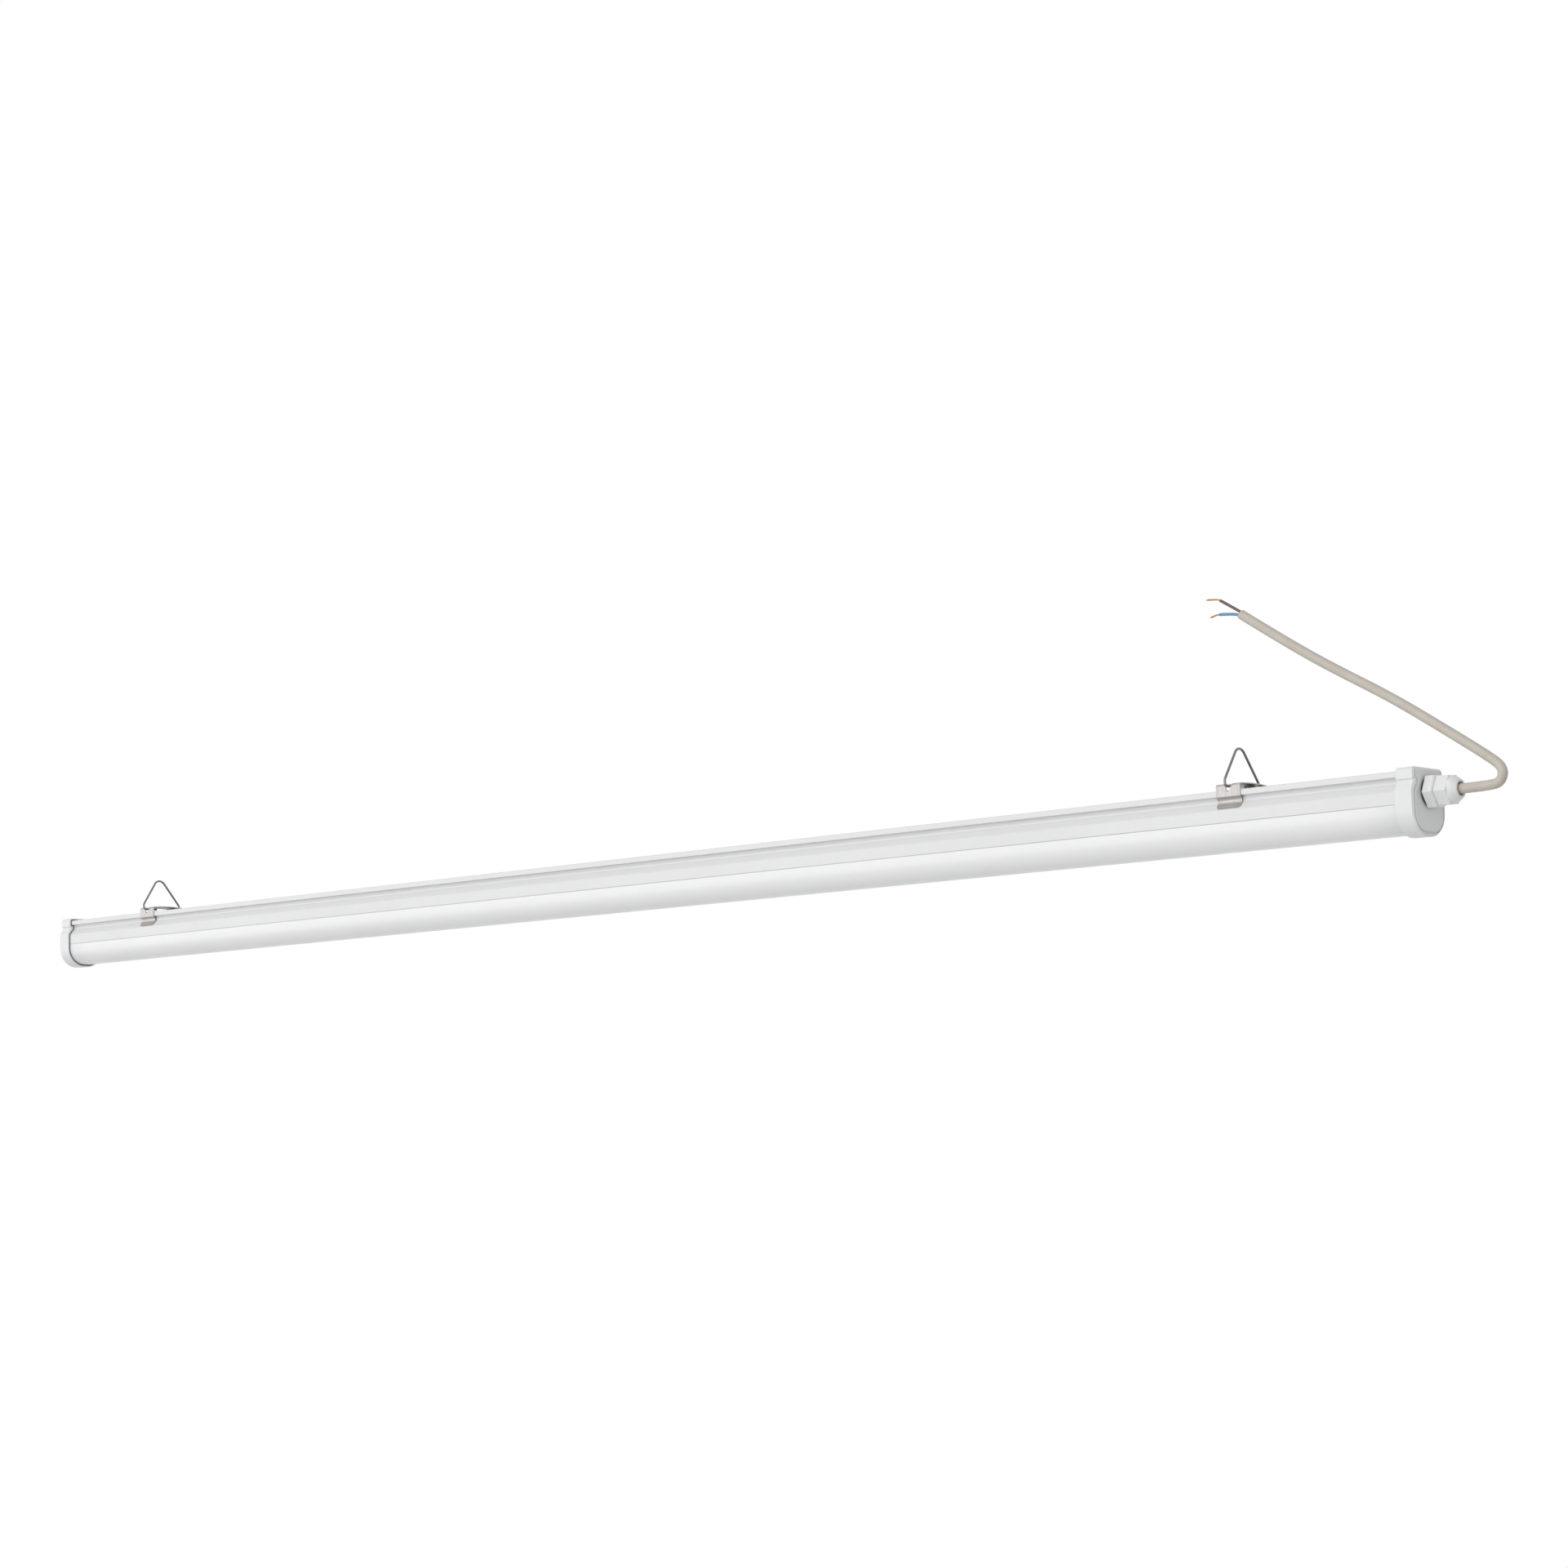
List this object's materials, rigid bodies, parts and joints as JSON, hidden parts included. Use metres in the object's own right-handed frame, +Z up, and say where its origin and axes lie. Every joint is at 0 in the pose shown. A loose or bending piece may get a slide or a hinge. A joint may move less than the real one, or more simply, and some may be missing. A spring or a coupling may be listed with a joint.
{
  "type": "tube light fixture",
  "caption": "Slim sealed tube light: white housing with a milky lower cover, end caps, cable gland with a bare-ended lead, and sliding spring clips with swinging wire hangers.",
  "frame": {"origin": "on the line where the two wire hangers are hooked up, midway along the tube and in its upright middle plane", "axes": "+X along the tube towards the cable end, +Z up, +Y across the tube"},
  "size_m": [1.5596, 0.042, 0.181],
  "materials": {
    "housing_white": "satin, opaque",
    "diffuser_milk": "satin, milky and see-through only to light",
    "cap_white": "satin moulding",
    "gasket_rubber": "matt",
    "gland_nylon": "satin moulding",
    "tray_steel": "satin white",
    "board_white": "white lacquer on aluminium",
    "chip_phosphor": "clear resin",
    "rivet_nylon": "satin",
    "link_plastic": "satin",
    "driver_case": "fine grain",
    "circuit_board": "lacquered",
    "transformer_tape": "taped",
    "choke_winding": "enamelled wire",
    "capacitor_sleeve": "shrunk sleeve",
    "screw_steel": "zinc plated",
    "insulation_brown": "soft sheen",
    "insulation_blue": "soft sheen",
    "insulation_red": "soft sheen",
    "insulation_black": "soft sheen",
    "clip_steel": "rolled stainless sheet",
    "wire_steel": "drawn stainless wire",
    "cable_sheath": "matt, rubbery",
    "bare_copper": "bare strands"
  },
  "bodies": {
    "fixture": {"housing": "housing_white", "diffuser": "diffuser_milk", "end_cap_feed": "cap_white", "end_cap_blind": "cap_white", "gasket_feed": "gasket_rubber", "gasket_blind": "gasket_rubber", "gland_body": "gland_nylon", "gland_nut": "gland_nylon", "gland_lock_nut": "gland_nylon", "gland_washer": "gasket_rubber", "gland_seal": "gasket_rubber", "gear_tray": "tray_steel", "led_board_1": "board_white", "led_board_2": "board_white", "led_board_3": "board_white", "led_chips_1": "chip_phosphor", "led_chips_2": "chip_phosphor", "led_chips_3": "chip_phosphor", "board_rivets": "rivet_nylon", "board_links": "link_plastic", "driver_base": "driver_case", "driver_lid": "driver_case", "driver_board": "circuit_board", "driver_transformer": "transformer_tape", "driver_choke": "choke_winding", "driver_capacitors": "capacitor_sleeve", "tray_screws": "screw_steel", "terminal_block": "link_plastic", "terminal_screws": "screw_steel", "lead_live_in": "insulation_brown", "lead_neutral_in": "insulation_blue", "lead_live_driver": "insulation_brown", "lead_neutral_driver": "insulation_blue", "lead_plus": "insulation_red", "lead_minus": "insulation_black", "cable_inlet": "cable_sheath", "cable": "cable_sheath", "core_live": "insulation_brown", "core_neutral": "insulation_blue", "copper_live": "bare_copper", "copper_neutral": "bare_copper"},
    "clip_right": {"clip_right": "clip_steel"},
    "clip_left": {"clip_left": "clip_steel"},
    "hanger_right": {"hanger_right": "wire_steel"},
    "hanger_left": {"hanger_left": "wire_steel"}
  },
  "joints": [
    {"name": "clip_right_slide", "type": "slide", "parent": "fixture", "child": "clip_right", "axis": [1, 0, 0], "range_m": [-0.56, 0.124]},
    {"name": "clip_left_slide", "type": "slide", "parent": "fixture", "child": "clip_left", "axis": [1, 0, 0], "range_m": [-0.108, 0.56]},
    {"name": "hanger_right_swing", "type": "hinge", "parent": "clip_right", "child": "hanger_right", "pos_m": [0.6016, 0, -0.02634], "axis": [0, 1, 0], "range_deg": [-71.5, 76]},
    {"name": "hanger_left_swing", "type": "hinge", "parent": "clip_left", "child": "hanger_left", "pos_m": [-0.6175, 0, -0.02634], "axis": [0, 1, 0], "range_deg": [-66.5, 81.5]}
  ]
}
